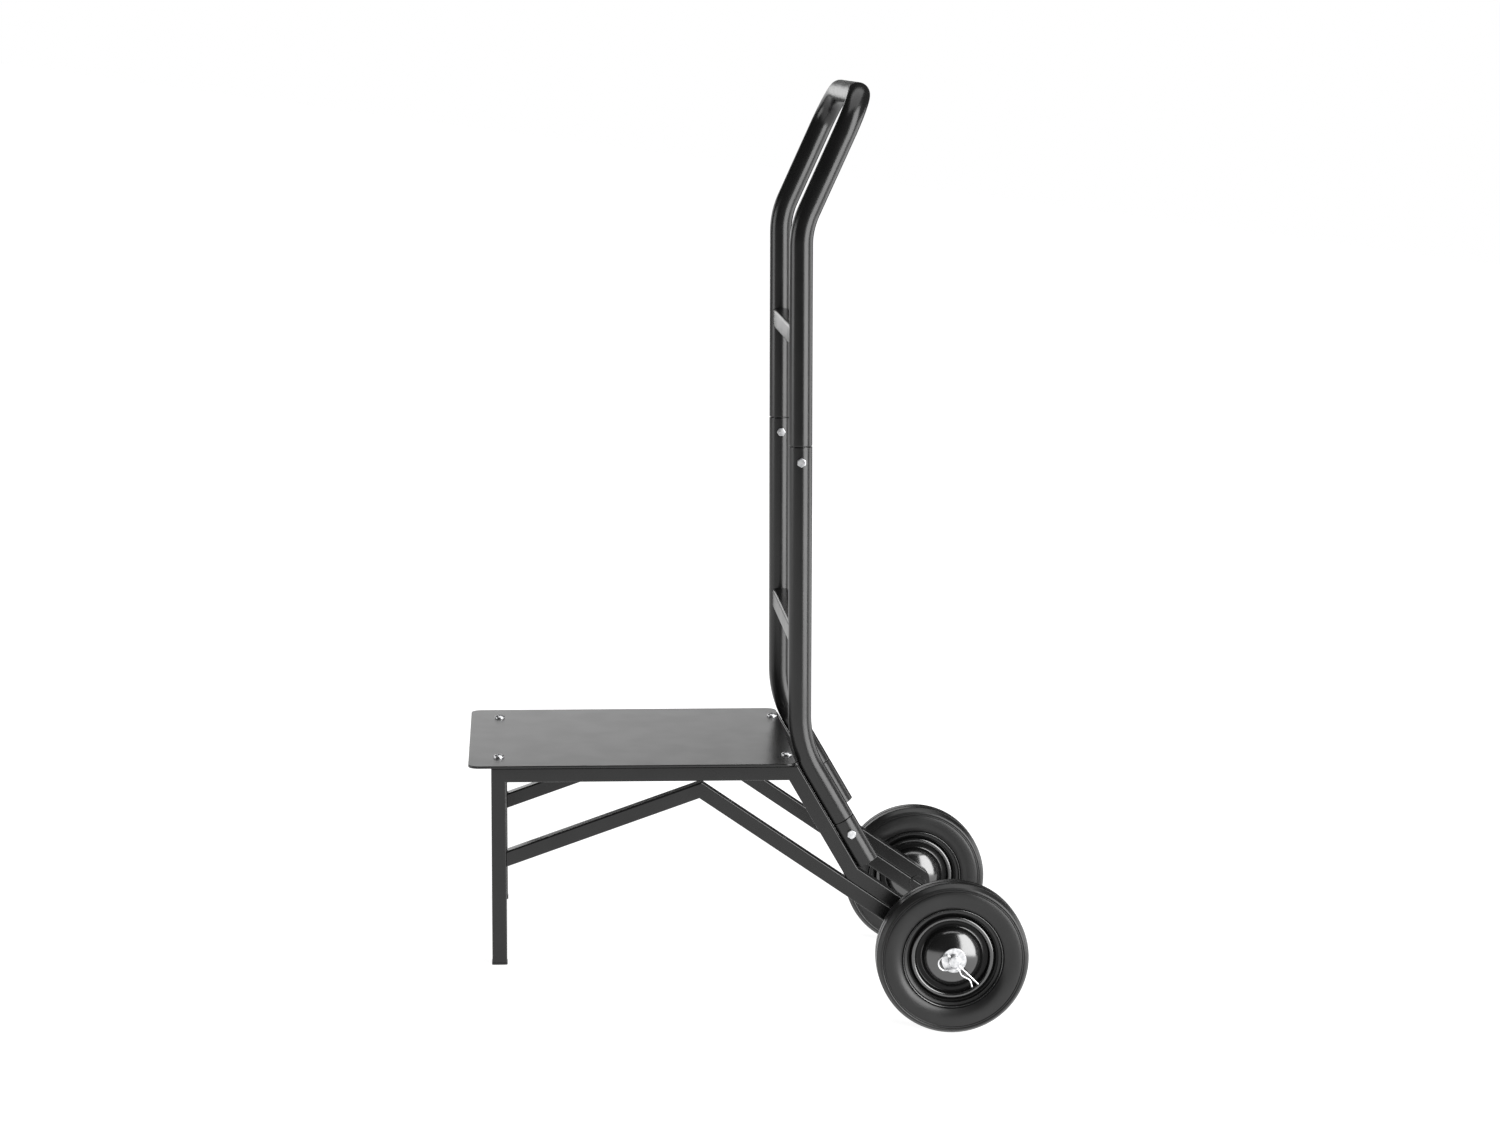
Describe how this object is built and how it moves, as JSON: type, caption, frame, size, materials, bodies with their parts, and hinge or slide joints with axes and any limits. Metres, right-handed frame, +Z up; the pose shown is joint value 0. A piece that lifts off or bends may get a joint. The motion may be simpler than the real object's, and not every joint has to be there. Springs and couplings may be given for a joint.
{
  "type": "stacking chair hand truck",
  "caption": "Upright two-wheeled chair cart: flat platform on a square-tube base, tall bent round-tube handle and rubber wheels on a stub axle each.",
  "frame": {"origin": "on the floor, in the middle of the overall box, with the cart parked on its tyres and feet", "axes": "+Z up, +X to the cart's left, +Y to its rear (towards the wheels and the person pushing)"},
  "size_m": [0.5386, 0.7738, 1.2316],
  "materials": {
    "frame_paint": "satin black powder coat",
    "plate_paint": "semi-gloss black powder coat",
    "rim_paint": "gloss black enamel",
    "zinc": "bright zinc plate",
    "bearing_steel": "ground steel",
    "tyre_rubber": "smooth black rubber",
    "cap_plastic": "matt black"
  },
  "bodies": {
    "cart_frame": {"front_cross_tube": "frame_paint", "left_axle_boss": "frame_paint", "left_brace_front": "frame_paint", "left_brace_rear": "frame_paint", "left_foot_cap": "cap_plastic", "left_front_leg": "frame_paint", "left_hairpin_clip": "zinc", "left_handle_socket": "frame_paint", "left_lower_handle_tube": "frame_paint", "left_mid_bolt": "zinc", "left_mid_nut": "zinc", "left_platform_bolt_front": "zinc", "left_platform_bolt_rear": "zinc", "left_platform_nut_front": "zinc", "left_platform_nut_rear": "zinc", "left_rear_post": "frame_paint", "left_socket_bolt": "zinc", "left_socket_nut": "zinc", "left_stub_axle": "zinc", "left_top_rail": "frame_paint", "left_upper_arm": "frame_paint", "left_washer": "zinc", "lower_crossbar": "frame_paint", "platform_plate": "plate_paint", "rear_cross_tube": "frame_paint", "right_axle_boss": "frame_paint", "right_brace_front": "frame_paint", "right_brace_rear": "frame_paint", "right_foot_cap": "cap_plastic", "right_front_leg": "frame_paint", "right_hairpin_clip": "zinc", "right_handle_socket": "frame_paint", "right_lower_handle_tube": "frame_paint", "right_mid_bolt": "zinc", "right_mid_nut": "zinc", "right_platform_bolt_front": "zinc", "right_platform_bolt_rear": "zinc", "right_platform_nut_front": "zinc", "right_platform_nut_rear": "zinc", "right_rear_post": "frame_paint", "right_socket_bolt": "zinc", "right_socket_nut": "zinc", "right_stub_axle": "zinc", "right_top_rail": "frame_paint", "right_upper_arm": "frame_paint", "right_washer": "zinc", "upper_crossbar": "frame_paint", "upper_handle_loop": "frame_paint"},
    "left_wheel": {"left_bearing_inner": "bearing_steel", "left_bearing_outer": "bearing_steel", "left_hub_tube": "rim_paint", "left_rim_inner": "rim_paint", "left_rim_outer": "rim_paint", "left_tyre": "tyre_rubber"},
    "right_wheel": {"right_bearing_inner": "bearing_steel", "right_bearing_outer": "bearing_steel", "right_hub_tube": "rim_paint", "right_rim_inner": "rim_paint", "right_rim_outer": "rim_paint", "right_tyre": "tyre_rubber"}
  },
  "joints": [
    {"name": "left_wheel_spin", "type": "hinge", "parent": "cart_frame", "child": "left_wheel", "pos_m": [0.2344, 0.28539, 0.1015], "axis": [1, 0, 0], "continuous": true},
    {"name": "right_wheel_spin", "type": "hinge", "parent": "cart_frame", "child": "right_wheel", "pos_m": [-0.2344, 0.28539, 0.1015], "axis": [1, 0, 0], "continuous": true}
  ]
}
